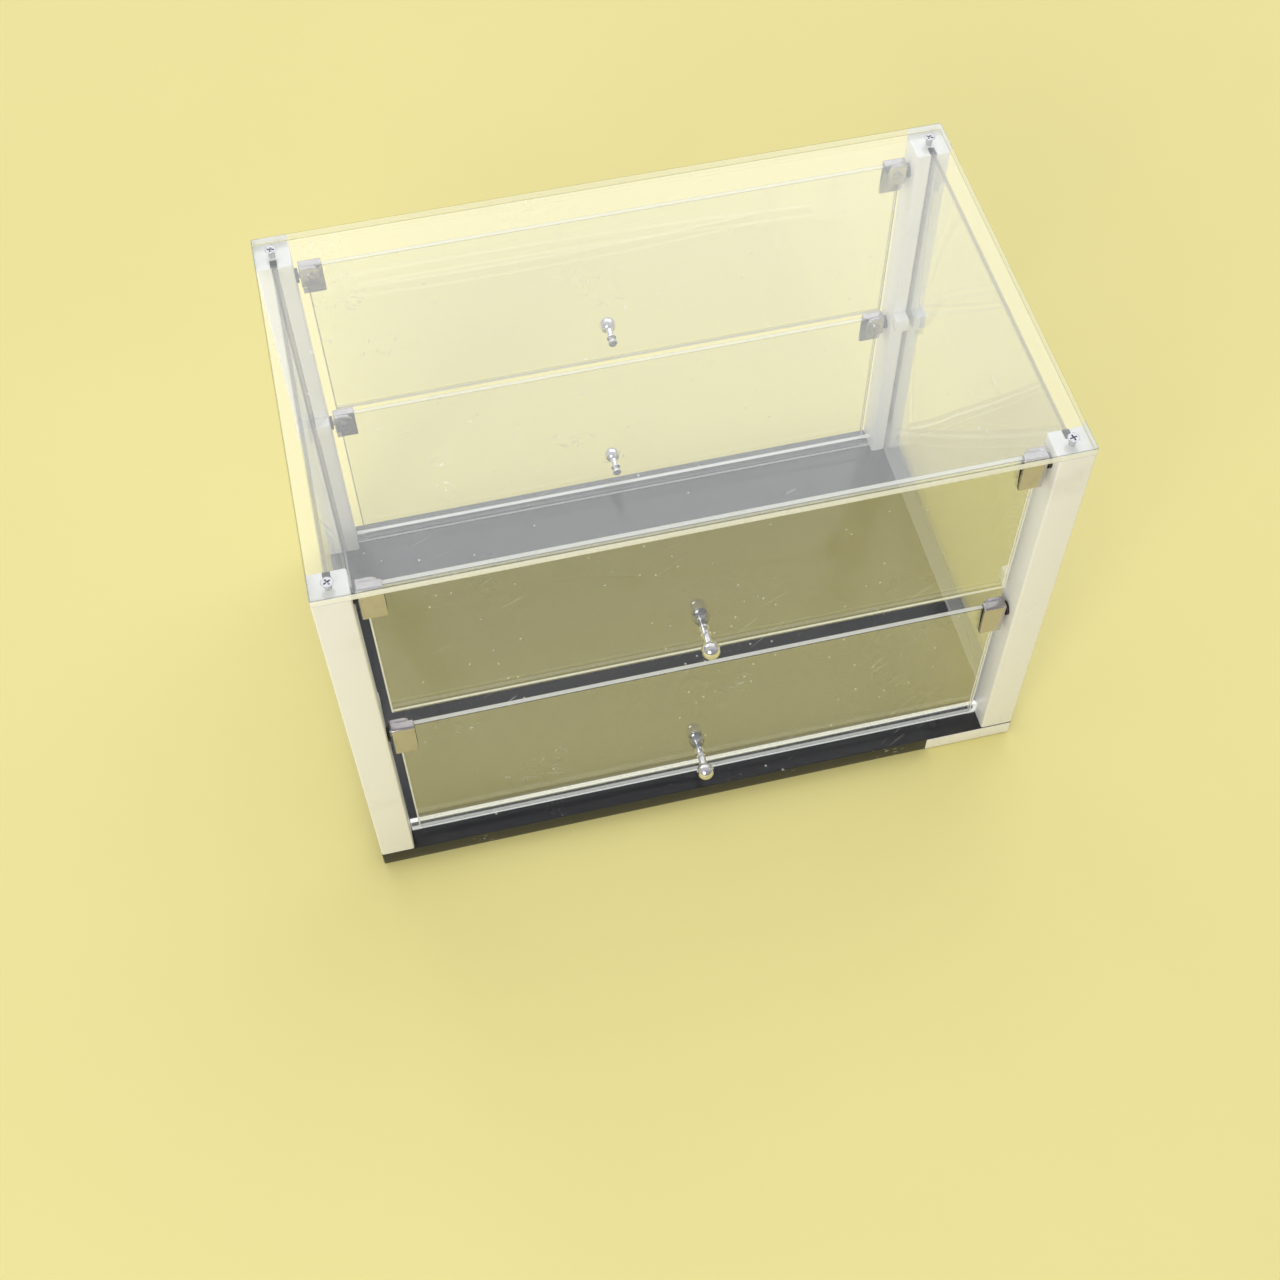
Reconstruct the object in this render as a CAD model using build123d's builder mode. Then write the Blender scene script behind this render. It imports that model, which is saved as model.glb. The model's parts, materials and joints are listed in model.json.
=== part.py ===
from build123d import *
import os

# Clear two-tier display case with four flap doors, in millimetres.
# X runs across the front, the front looks along -Y and Z is up.
# The origin lies under the middle of the base board.

# Case
case_width = 400.0
case_depth = 250.0
base_thickness = 12.0
post_side = 20.0
post_height = 264.0
plate_thickness = 5.0
post_edge_radius = 1.2
sheet_corner_radius = 1.0

# Side panels and the grooves that hold them
panel_thickness = 3.0
groove_depth = 6.0
groove_clearance = 0.1
panel_end_clearance = 0.5
panel_top_clearance = 0.5

# Doors: sheet, and where the clips stand at each side of the case
door_thickness = 3.0
door_corner_radius = 1.0
upper_clip_drop = {"front": 2.5, "back": 10.2}
lower_clip_drop = {"front": 4.5, "back": 5.2}
sill_gap = {"front": 8.7, "back": 4.5}

# Hinge clips: a cap over the door's corner with a long outer and a short inner cheek
clip_width = 13.0
clip_height = 24.0
clip_depth = 8.0
clip_cap = 1.2
clip_side_wall = 2.9
clip_corner_radius = 1.2
clip_edge_fillet = 0.5
sheet_clearance = 0.1
inner_cheek_width = 11.0
inner_cheek_height = 13.5
inner_cheek_radius = 3.5

# Hinge pins and washers
clip_gap = 2.5
pin_radius = 1.75
pin_drop = 7.5
pin_in_post = 6.5
pin_in_clip = 2.3
pin_end_clearance = 0.2
running_clearance = 0.05
washer_radius = 4.25
washer_thickness = 1.6

# Clamp screws, one in each clip's inner cheek
clamp_shaft_radius = 1.5
clamp_head_radius = 2.6
clamp_head_height = 1.2
clamp_slot_width = 0.7
clamp_slot_depth = 0.7

# Knobs and their screws
knob_ball_radius = 5.25
knob_stem_radius = 2.5
knob_standoff = 11.4
knob_rise = 16.3
knob_screw_radius = 1.5
knob_screw_in_stem = 6.0
knob_screw_head_radius = 2.9
knob_screw_head_height = 1.8
knob_hole_clearance = 0.2

# Countersunk screws into the ends of the posts
top_screw_radius = 1.75
top_screw_head_radius = 3.1
top_screw_length = 18.0
base_screw_radius = 2.0
base_screw_head_radius = 4.0
base_screw_length = 30.0
head_recess = 0.1
screw_clearance = 0.1
cross_width = 0.8
cross_depth = 1.1
cross_share = 0.62

# Shelf rests, stop strips and label
rest_depth = 7.5
rest_height = 10.0
rest_edge_radius = 0.8
strip_thickness = 3.0
strip_height = 10.0
strip_end_gap = 0.5
stop_gap = 0.5
label_width = 55.0
label_height = 10.8
label_inset = 0.6
label_thickness = 0.3

# Worked-out places
side_sign = {"front": -1, "back": 1}
hand_sign = {"left": -1, "right": 1}
levels = ("upper", "lower")
post_pitch_x = case_width - post_side
post_pitch_y = case_depth - post_side
post_top = base_thickness + post_height
plate_top = post_top + plate_thickness
mid_height = base_thickness + post_height / 2
groove_width = panel_thickness + 2 * groove_clearance
post_face_x = case_width / 2 - post_side
clip_edge_x = post_face_x - clip_gap
door_width = 2 * (clip_edge_x - clip_side_wall - sheet_clearance)
cheek_thickness = (clip_depth - door_thickness) / 2
door_cap = clip_cap + sheet_clearance


def clip_top(side, level):
    """Height of the top of the clips on one door."""
    if level == "upper":
        return post_top - upper_clip_drop[side]
    return mid_height - lower_clip_drop[side]


def door_top(side, level):
    return clip_top(side, level) - door_cap


def door_height(side):
    """Both doors of one side have the same height, which the lower opening sets."""
    return door_top(side, "lower") - base_thickness - sill_gap[side]


def door_bottom(side, level):
    return door_top(side, level) - door_height(side)


def hinge_height(side, level):
    return clip_top(side, level) - pin_drop


def hinge_y(side):
    """The doors hang on the centre line of the posts."""
    return side_sign[side] * post_pitch_y / 2


def outward(side):
    return (0, side_sign[side], 0)


def save(builder, name):
    """Label one finished piece and write its file."""
    builder.part.label = name
    export_step(builder.part, f"parts/{name}.step")


os.makedirs("parts", exist_ok=True)


# Base board, with countersunk holes from below
with BuildPart() as base_board:
    with BuildSketch():
        RectangleRounded(case_width, case_depth, sheet_corner_radius)
    extrude(amount=base_thickness)
    with Locations(Plane(origin=(0, 0, 0), x_dir=(1, 0, 0), z_dir=(0, 0, -1))):
        with GridLocations(post_pitch_x, post_pitch_y, 2, 2):
            CounterSinkHole(
                radius=base_screw_radius + screw_clearance,
                counter_sink_radius=base_screw_head_radius + head_recess + screw_clearance,
                depth=base_thickness,
                counter_sink_angle=90,
            )
save(base_board, "base_board")


# Top plate, with countersunk holes from above
with BuildPart() as top_plate:
    with BuildSketch(Plane.XY.offset(post_top)):
        RectangleRounded(case_width, case_depth, sheet_corner_radius)
    extrude(amount=plate_thickness)
    with Locations((0, 0, plate_top)):
        with GridLocations(post_pitch_x, post_pitch_y, 2, 2):
            CounterSinkHole(
                radius=top_screw_radius + screw_clearance,
                counter_sink_radius=top_screw_head_radius + head_recess + screw_clearance,
                depth=plate_thickness,
                counter_sink_angle=90,
            )
save(top_plate, "top_plate")


# Posts, each with a groove along the case, screw holes in both ends and two hinge pin holes
for side, side_dir in side_sign.items():
    for hand, hand_dir in hand_sign.items():
        post_x = hand_dir * post_pitch_x / 2
        post_y = side_dir * post_pitch_y / 2
        with BuildPart() as post:
            with BuildSketch(Plane.XY.offset(base_thickness)):
                with Locations((post_x, post_y)):
                    RectangleRounded(post_side, post_side, post_edge_radius)
                with Locations((post_x, post_y - side_dir * (post_side - groove_depth) / 2)):
                    Rectangle(groove_width, groove_depth, mode=Mode.SUBTRACT)
            extrude(amount=post_height)
            with Locations((post_x, post_y, post_top)):
                Hole(
                    radius=top_screw_radius + screw_clearance,
                    depth=top_screw_length - plate_thickness + pin_end_clearance,
                )
            with Locations(Plane(origin=(post_x, post_y, base_thickness), z_dir=(0, 0, -1))):
                Hole(
                    radius=base_screw_radius + screw_clearance,
                    depth=base_screw_length - base_thickness + head_recess + pin_end_clearance,
                )
            for level in levels:
                mouth = (hand_dir * post_face_x, post_y, hinge_height(side, level))
                with Locations(Plane(origin=mouth, z_dir=(-hand_dir, 0, 0))):
                    Hole(radius=pin_radius + running_clearance, depth=pin_in_post + pin_end_clearance)
        save(post, f"post_{side}_{hand}")


# Side panels, standing on the base board between the grooves of two posts
panel_length = case_depth - 2 * (post_side - groove_depth) - 2 * panel_end_clearance
for hand, hand_dir in hand_sign.items():
    with BuildPart() as side_panel:
        with BuildSketch(Plane.XY.offset(base_thickness)):
            with Locations((hand_dir * post_pitch_x / 2, 0)):
                Rectangle(panel_thickness, panel_length)
        extrude(amount=post_height - panel_top_clearance)
    save(side_panel, f"side_panel_{hand}")


# Shelf rests: a block on each post at mid height, in two halves on either side of the panel
for side, side_dir in side_sign.items():
    for hand, hand_dir in hand_sign.items():
        rest_x = hand_dir * post_pitch_x / 2
        rest_y = side_dir * (case_depth / 2 - post_side - rest_depth / 2)
        with BuildPart() as shelf_rest:
            with BuildSketch(Plane.XY.offset(mid_height - rest_height / 2)) as rest_section:
                with Locations((rest_x, rest_y)):
                    Rectangle(post_side, rest_depth)
                    Rectangle(groove_width, rest_depth, mode=Mode.SUBTRACT)
                free_corners = rest_section.vertices().group_by(Axis.Y)[0 if side_dir > 0 else -1]
                fillet(free_corners, radius=rest_edge_radius)
            extrude(amount=rest_height)
        save(shelf_rest, f"shelf_rest_{side}_{hand}")


# Stop strips, standing on the base board just behind the lower doors
for side, side_dir in side_sign.items():
    strip_setback = post_side / 2 + door_thickness / 2 + stop_gap + strip_thickness / 2
    with BuildPart() as stop_strip:
        with BuildSketch(Plane.XY.offset(base_thickness)):
            with Locations((0, side_dir * (case_depth / 2 - strip_setback))):
                Rectangle(2 * (post_face_x - strip_end_gap), strip_thickness)
        extrude(amount=strip_height)
    save(stop_strip, f"stop_strip_{side}")


def countersunk_screws(plane, shaft_radius, head_radius, length):
    """Four countersunk cross-head screws, one on the axis of each post, heads on the plane."""
    with BuildPart(plane) as screws:
        with GridLocations(post_pitch_x, post_pitch_y, 2, 2):
            Cylinder(shaft_radius, length, align=(Align.CENTER, Align.CENTER, Align.MAX))
            Cone(
                bottom_radius=shaft_radius,
                top_radius=head_radius,
                height=head_radius - shaft_radius,
                align=(Align.CENTER, Align.CENTER, Align.MAX),
            )
            cross_length = 2 * head_radius * cross_share
            top_middle = (Align.CENTER, Align.CENTER, Align.MAX)
            Box(cross_length, cross_width, cross_depth, align=top_middle, mode=Mode.SUBTRACT)
            Box(cross_width, cross_length, cross_depth, align=top_middle, mode=Mode.SUBTRACT)
    return screws


top_screws = countersunk_screws(
    Plane.XY.offset(plate_top - head_recess),
    top_screw_radius,
    top_screw_head_radius,
    top_screw_length - head_recess,
)
save(top_screws, "top_screws")

base_screws = countersunk_screws(
    Plane(origin=(0, 0, head_recess), x_dir=(1, 0, 0), z_dir=(0, 0, -1)),
    base_screw_radius,
    base_screw_head_radius,
    base_screw_length,
)
save(base_screws, "base_screws")


# Blank label at the right end of the base board's front edge
with BuildPart() as label_plate:
    with BuildSketch(Plane.XZ.offset(case_depth / 2)):
        with Locations((case_width / 2 - label_inset - label_width / 2, base_thickness / 2)):
            Rectangle(label_width, label_height)
    extrude(amount=label_thickness)
save(label_plate, "label_plate")


def make_door(side, level):
    """One clear sheet with a hole for the knob screw."""
    with BuildPart() as door:
        with BuildSketch(Plane.XZ.offset(-hinge_y(side))):
            with Locations((0, door_bottom(side, level) + door_height(side) / 2)):
                RectangleRounded(door_width, door_height(side), door_corner_radius)
            with Locations((0, door_bottom(side, level) + knob_rise)):
                Circle(knob_screw_radius + knob_hole_clearance, mode=Mode.SUBTRACT)
        extrude(amount=door_thickness / 2, both=True)
    return door


def make_hinge_clip(side, level, hand):
    """A cap closed on top and towards the post, with a blind pin hole in its side wall."""
    side_dir = side_sign[side]
    hand_dir = hand_sign[hand]
    top = clip_top(side, level)
    middle_y = hinge_y(side)
    clip_x = hand_dir * (clip_edge_x - clip_width / 2)
    cheek_x = hand_dir * (clip_edge_x - inner_cheek_width / 2)
    slot_x = hand_dir * (clip_edge_x - clip_side_wall - clip_width / 2)
    inner_face_y = middle_y - side_dir * clip_depth / 2
    with BuildPart() as clip:
        with BuildSketch(Plane.XZ.offset(-middle_y)):
            with Locations((clip_x, top - clip_height / 2)):
                RectangleRounded(clip_width, clip_height, clip_corner_radius)
        extrude(amount=clip_depth / 2, both=True)
        # slot for the sheet, open below and towards the middle of the door
        with BuildSketch(Plane.XZ.offset(-middle_y)):
            with Locations((slot_x, top - clip_cap - clip_height / 2)):
                Rectangle(clip_width, clip_height)
        extrude(amount=door_thickness / 2, both=True, mode=Mode.SUBTRACT)
        # the inner half keeps only the short cheek
        with BuildSketch(Plane.XZ.offset(-(middle_y + side_dir * door_thickness / 2))) as inner_half:
            with Locations((clip_x, top - clip_height / 2)):
                Rectangle(2 * clip_width, 2 * clip_height)
            with BuildSketch(mode=Mode.PRIVATE) as cheek:
                with Locations((cheek_x, top - inner_cheek_height / 2)):
                    Rectangle(inner_cheek_width, inner_cheek_height)
                fillet(cheek.vertices().group_by(Axis.X)[0 if hand_dir > 0 else -1], inner_cheek_radius)
            add(cheek.sketch, mode=Mode.SUBTRACT)
        extrude(amount=side_dir * clip_depth, mode=Mode.SUBTRACT)
        fillet(clip.faces().sort_by(Axis.Y)[-1 if side_dir > 0 else 0].edges(), radius=clip_edge_fillet)
        with Locations(
            Plane(
                origin=(hand_dir * clip_edge_x, middle_y, hinge_height(side, level)),
                z_dir=(hand_dir, 0, 0),
            )
        ):
            Hole(radius=pin_radius + running_clearance, depth=pin_in_clip + pin_end_clearance)
        clamp_z = top - inner_cheek_height / 2
        with Locations(Plane(origin=(cheek_x, inner_face_y, clamp_z), z_dir=(0, -side_dir, 0))):
            Hole(radius=clamp_shaft_radius + screw_clearance, depth=cheek_thickness)
    return clip


def make_hinge_pins(side, level):
    """Two pins, each from its hole in a post into the side wall of a clip."""
    with BuildPart() as pins:
        for hand_dir in hand_sign.values():
            with BuildSketch(Plane.YZ.offset(hand_dir * (post_face_x + pin_in_post))):
                with Locations((hinge_y(side), hinge_height(side, level))):
                    Circle(pin_radius)
            extrude(amount=-hand_dir * (pin_in_post + clip_gap + pin_in_clip))
    return pins


def make_hinge_washers(side, level):
    """Two washers, each on its pin and flat against a post."""
    with BuildPart() as washers:
        for hand_dir in hand_sign.values():
            with BuildSketch(Plane.YZ.offset(hand_dir * post_face_x)):
                with Locations((hinge_y(side), hinge_height(side, level))):
                    Circle(washer_radius)
                    Circle(pin_radius + running_clearance, mode=Mode.SUBTRACT)
            extrude(amount=-hand_dir * washer_thickness)
    return washers


def make_clamp_screws(side, level):
    """Two slotted screws that press on the inner face of the door."""
    side_dir = side_sign[side]
    sheet_y = hinge_y(side) - side_dir * door_thickness / 2
    clamp_x = clip_edge_x - inner_cheek_width / 2
    clamp_z = clip_top(side, level) - inner_cheek_height / 2
    with BuildPart() as screws:
        with BuildSketch(Plane.XZ.offset(-sheet_y)):
            with Locations((-clamp_x, clamp_z), (clamp_x, clamp_z)):
                Circle(clamp_shaft_radius)
        extrude(amount=side_dir * cheek_thickness)
        with BuildSketch(Plane.XZ.offset(-(sheet_y - side_dir * cheek_thickness))):
            with Locations((-clamp_x, clamp_z), (clamp_x, clamp_z)):
                Circle(clamp_head_radius)
        extrude(amount=side_dir * clamp_head_height)
        head_y = sheet_y - side_dir * (cheek_thickness + clamp_head_height)
        with BuildSketch(Plane.XZ.offset(-head_y)):
            with Locations((-clamp_x, clamp_z), (clamp_x, clamp_z)):
                Rectangle(2 * clamp_head_radius, clamp_slot_width)
        extrude(amount=-side_dir * clamp_slot_depth, mode=Mode.SUBTRACT)
    return screws


def make_knob(side, level):
    """A ball on a stem, bored for its screw."""
    knob_z = door_bottom(side, level) + knob_rise
    seat = (0, hinge_y(side) + side_sign[side] * door_thickness / 2, knob_z)
    on_seat = (Align.CENTER, Align.CENTER, Align.MIN)
    with BuildPart(Plane(origin=seat, x_dir=(1, 0, 0), z_dir=outward(side))) as knob:
        Cylinder(knob_stem_radius, knob_standoff, align=on_seat)
        with Locations((0, 0, knob_standoff)):
            Sphere(knob_ball_radius)
        Cylinder(
            knob_screw_radius + screw_clearance,
            knob_screw_in_stem + pin_end_clearance,
            align=on_seat,
            mode=Mode.SUBTRACT,
        )
    return knob


def make_knob_screw(side, level):
    """A flat-headed screw from inside the door into the knob's stem."""
    knob_z = door_bottom(side, level) + knob_rise
    seat = (0, hinge_y(side) - side_sign[side] * door_thickness / 2, knob_z)
    with BuildPart(Plane(origin=seat, x_dir=(1, 0, 0), z_dir=outward(side))) as screw:
        Cylinder(
            knob_screw_radius,
            door_thickness + knob_screw_in_stem,
            align=(Align.CENTER, Align.CENTER, Align.MIN),
        )
        Cylinder(
            knob_screw_head_radius,
            knob_screw_head_height,
            align=(Align.CENTER, Align.CENTER, Align.MAX),
        )
        with Locations((0, 0, -knob_screw_head_height)):
            cross_length = 2 * knob_screw_head_radius * cross_share
            from_head = (Align.CENTER, Align.CENTER, Align.MIN)
            Box(cross_length, cross_width, cross_depth, align=from_head, mode=Mode.SUBTRACT)
            Box(cross_width, cross_length, cross_depth, align=from_head, mode=Mode.SUBTRACT)
    return screw


# The four doors, each with its clips, pins, washers, screws and knob
for side in side_sign:
    for level in levels:
        save(make_door(side, level), f"door_{side}_{level}")
        for hand in hand_sign:
            save(make_hinge_clip(side, level, hand), f"hinge_clip_{side}_{level}_{hand}")
        save(make_hinge_pins(side, level), f"hinge_pins_{side}_{level}")
        save(make_hinge_washers(side, level), f"hinge_washers_{side}_{level}")
        save(make_clamp_screws(side, level), f"clamp_screws_{side}_{level}")
        save(make_knob(side, level), f"knob_{side}_{level}")
        save(make_knob_screw(side, level), f"knob_screw_{side}_{level}")
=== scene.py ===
# %% [markdown]
# # A clear two-tier display case
# This lesson dresses a imported CAD model of a small shop display case: a black base board, four white
# posts, clear acrylic sheets and four flap doors that hang from chrome clips. The CAD model gives every
# place and size, so the first step loads it and keeps its parts, whose boxes place each piece.

# %% Load the frame
import json
import math
import bmesh
import bpy
import numpy as np
from mathutils import Matrix, Vector
from mathutils.geometry import tessellate_polygon


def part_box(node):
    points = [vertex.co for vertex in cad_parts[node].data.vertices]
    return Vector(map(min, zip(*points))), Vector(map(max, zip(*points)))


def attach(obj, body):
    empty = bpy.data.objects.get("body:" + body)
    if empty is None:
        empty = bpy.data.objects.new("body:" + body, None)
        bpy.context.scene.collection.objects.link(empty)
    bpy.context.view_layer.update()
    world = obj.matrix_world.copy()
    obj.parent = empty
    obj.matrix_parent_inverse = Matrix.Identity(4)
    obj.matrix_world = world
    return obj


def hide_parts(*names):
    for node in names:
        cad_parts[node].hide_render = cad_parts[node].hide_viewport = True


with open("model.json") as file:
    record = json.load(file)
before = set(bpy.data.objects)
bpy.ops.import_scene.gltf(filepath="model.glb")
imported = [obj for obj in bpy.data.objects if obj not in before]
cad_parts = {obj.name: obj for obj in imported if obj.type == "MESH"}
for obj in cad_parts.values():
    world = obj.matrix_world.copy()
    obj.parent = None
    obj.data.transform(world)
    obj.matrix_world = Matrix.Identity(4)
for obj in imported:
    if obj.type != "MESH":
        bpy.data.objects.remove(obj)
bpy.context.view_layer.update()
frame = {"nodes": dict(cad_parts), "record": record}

mm = 0.001
hair = 0.05 * mm        # a gap that keeps two touching faces from lying in one plane
sides = {"front": -1, "back": 1}        # which way along y each side looks
hands = ("left", "right")
levels = ("upper", "lower")


def node_box(node):
    """The lowest and highest corner of a CAD node as arrays."""
    low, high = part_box(node)
    return np.array(low), np.array(high)


# %% [markdown]
# ## The camera
# The photograph looks down into the case from the front, a little from the left. A pinhole camera was
# fitted to the corners of posts, plate and base, and its place, its three angles and its lens are written
# here as numbers. The camera's own axes are built from them: it looks along its negative Z.

# %% Camera
camera_place = Vector((-150.3, -630.1, 978.9)) * mm
camera_turn = math.radians(12.476)
camera_dip = math.radians(56.718)
camera_roll = math.radians(-0.925)

looking = Vector((math.sin(camera_turn) * math.cos(camera_dip),
                  math.cos(camera_turn) * math.cos(camera_dip),
                  -math.sin(camera_dip)))
level_right = looking.cross(Vector((0, 0, 1))).normalized()
level_up = level_right.cross(looking)
right = math.cos(camera_roll) * level_right + math.sin(camera_roll) * level_up
up = right.cross(looking)

camera_data = bpy.data.cameras.new("camera")
camera_data.sensor_width = 36
camera_data.lens = 50.04
camera_data.clip_start = 0.01
camera = bpy.data.objects.new("camera", camera_data)
axes = Matrix((right, up, -looking)).transposed().to_4x4()
camera.matrix_world = Matrix.Translation(camera_place) @ axes
bpy.context.scene.collection.objects.link(camera)
bpy.context.scene.camera = camera
print("camera", [round(v, 3) for v in camera_place], "lens", camera_data.lens)

# %% [markdown]
# ## Shader arithmetic
# A material is a small network of nodes. Two helpers keep it readable: `Field` wraps an output socket and
# turns Python's operators into Math nodes, so that `1 - mask * 0.5` is a network, and `Finish` owns one
# material and adds any other node by its type, its settings and its sockets. Painted textures would need
# every piece unwrapped, while a pattern that reads Object coordinates fits any shape at its real scale.
# Those are metres here, so a scale of 900 makes grains of about a millimetre.

# %% Shader helpers
class Field:
    """One output socket that can be used in arithmetic."""

    def __init__(self, finish, socket):
        self.finish, self.socket = finish, socket

    def math(self, operation, first, second=0.0):
        node = self.finish.node("Math", {"operation": operation}, {0: first, 1: second})
        return Field(self.finish, node.outputs[0])

    def __add__(self, other): return self.math("ADD", self, other)
    def __radd__(self, other): return self.math("ADD", other, self)
    def __sub__(self, other): return self.math("SUBTRACT", self, other)
    def __rsub__(self, other): return self.math("SUBTRACT", other, self)
    def __mul__(self, other): return self.math("MULTIPLY", self, other)
    def __rmul__(self, other): return self.math("MULTIPLY", other, self)
    def __abs__(self): return self.math("ABSOLUTE", self)

    def step(self, low, high):
        """0 below low, 1 above high and a smooth ramp between them; low may be the larger one."""
        node = self.finish.node("MapRange", {"interpolation_type": "SMOOTHSTEP"},
                                {"Value": self, "From Min": low, "From Max": high})
        return Field(self.finish, node.outputs["Result"])


class Finish:
    """One material and its nodes."""

    def __init__(self, name):
        self.material = bpy.data.materials.new(name)
        self.material.use_nodes = True
        self.nodes = self.material.node_tree.nodes
        self.links = self.material.node_tree.links
        self.nodes.clear()
        self.place = self.out("TexCoord", {}, {}, "Object")

    def node(self, kind, settings, sockets):
        """Adds one node: its settings first, then a value or a link for each socket that is named."""
        node = self.nodes.new("ShaderNode" + kind)
        for key, value in settings.items():
            setattr(node, key, value)
        for key, value in sockets.items():
            if isinstance(value, Field):
                self.links.new(value.socket, node.inputs[key])
            else:
                node.inputs[key].default_value = value
        return node

    def out(self, kind, settings, sockets, output=0):
        return Field(self, self.node(kind, settings, sockets).outputs[output])

    def along(self):
        """The object coordinates x, y and z, one by one."""
        parts = self.node("SeparateXYZ", {}, {0: self.place}).outputs
        return [Field(self, parts[k]) for k in range(3)]

    def stretched(self, scale, turn=(0, 0, 0)):
        """Object coordinates, turned back by turn and then scaled along each axis."""
        return self.out("Mapping", {"vector_type": "TEXTURE"},
                        {"Vector": self.place, "Scale": tuple(1 / k for k in scale), "Rotation": turn})

    def noise(self, scale, detail=2.0, where=None):
        """The height of a noise, 0 to 1, with scale waves to a metre."""
        return self.out("TexNoise", {}, {"Vector": where or self.place, "Scale": scale,
                                         "Detail": detail}, "Fac")

    def specks(self, scale, size, dimensions="3D"):
        """1 within size of the scattered centres of a Voronoi pattern, 0 elsewhere."""
        distance = self.out("TexVoronoi", {"voronoi_dimensions": dimensions},
                            {"Vector": self.place, "Scale": scale}, "Distance")
        return distance.step(size, size * 0.5)

    def hairs(self, scale, turn, cut=0.68):
        """Fine lines along one direction: the crests of a noise that is drawn out along it."""
        return self.noise(scale, 1, self.stretched((0.016, 1, 1), turn)).step(cut, cut + 0.025)

    def larger(self, first, second):
        return self.out("Math", {"operation": "MAXIMUM"}, {0: first, 1: second})

    def mix(self, share, first, second):
        """A colour between first and second, which is all second where share is 1."""
        return self.out("Mix", {"data_type": "RGBA"}, {0: share, 6: first, 7: second}, 2)

    def bump(self, height, distance, strength=1.0):
        return self.out("Bump", {}, {"Height": height, "Distance": distance, "Strength": strength})

    def plastic(self, sockets):
        return self.out("BsdfPrincipled", {}, sockets)

    def see_through(self, colour):
        return self.out("BsdfTransparent", {}, {"Color": colour})

    def layered(self, share, under, over):
        """One shader over another, which covers it by share."""
        return self.out("MixShader", {}, {0: share, 1: under, 2: over})

    def finish(self, shader):
        self.node("OutputMaterial", {}, {"Surface": shader})
        print("finish", self.material.name, "with", len(self.nodes), "nodes")
        return self.material


# %% [markdown]
# ## Clear sheets: the wide faces
# A real acrylic sheet mirrors a few percent of the light at each face, more at a glancing angle, and lets
# the rest through. Glass nodes could do that, but they run out of light bounces where many sheets lie
# behind each other, and turn dark. So each face here mixes a see-through shader with a mirror, whose share
# grows with the angle. The front doors get the largest share, because the photograph shows the floor
# strongly in them, and the back doors the least. Dust, grains and hairline scratches are matt spots in
# the mirror, in cloudy patches as on a sheet that was wiped.

# %% Clear faces
def clear_faces(name, glancing, foot=0.0):
    """Mirror share of one face: 0.075 seen straight on, and glancing more of it along the sheet. Along the
    sheet a thin haze of dust adds up, with foot more of it below 36 mm, which fades out at 50 mm."""
    f = Finish(name)
    facing = f.out("LayerWeight", {}, {"Blend": 0.5}, "Facing")
    settled = foot * facing.step(0.35, 0.7) * f.along()[2].step(50 * mm, 36 * mm)
    mirror = 0.075 + glancing * facing.step(0.1, 0.85) + settled
    haze = 0.6 * facing.step(0.6, 0.95) + settled
    patches = f.noise(14, 3).step(0.45, 0.7)
    dust = f.specks(900, 0.16) * f.noise(60, 2).step(0.52, 0.7)
    grains = f.specks(80, 0.07) * f.noise(21, 2).step(0.52, 0.56)
    hairs = f.hairs(620, (0.0, 0.5, 0.1)) + f.hairs(560, (0.2, -0.9, 0.6))
    marks = (dust + hairs * f.noise(30, 2).step(0.58, 0.64)) * patches * 0.6 + grains
    mirror_shader = f.plastic({
        "Base Color": (0.96, 0.97, 0.965, 1),
        "Metallic": 1 - f.larger(marks, haze),
        "Roughness": 0.012 + 0.04 * patches + 0.4 * marks,
    })
    share = f.larger(mirror, marks * 0.6)
    return f.finish(f.layered(share, f.see_through((0.985, 0.99, 0.987, 1)), mirror_shader))


clear_face = clear_faces("clear acrylic face", glancing=0.2)
back_door_face = clear_faces("back door face", glancing=0.0)
side_panel_face = clear_faces("side panel face", glancing=0.2, foot=0.4)
front_door_face = clear_faces("front door face", glancing=0.36)

# %% [markdown]
# ## Clear sheets: the rims
# Light enters a sheet at its faces, runs along inside it and comes out at the sawn rims, which therefore
# look bright and nearly white. A see-through shader can't carry that light, so a rim here is a pale,
# slightly rough plastic that lets some light through from behind. From outside it shows over its whole
# thickness. Through its own sheet refraction makes it look narrower, so there only a band along its middle
# shows. The options hold what the photograph shows on single sheets.

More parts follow.
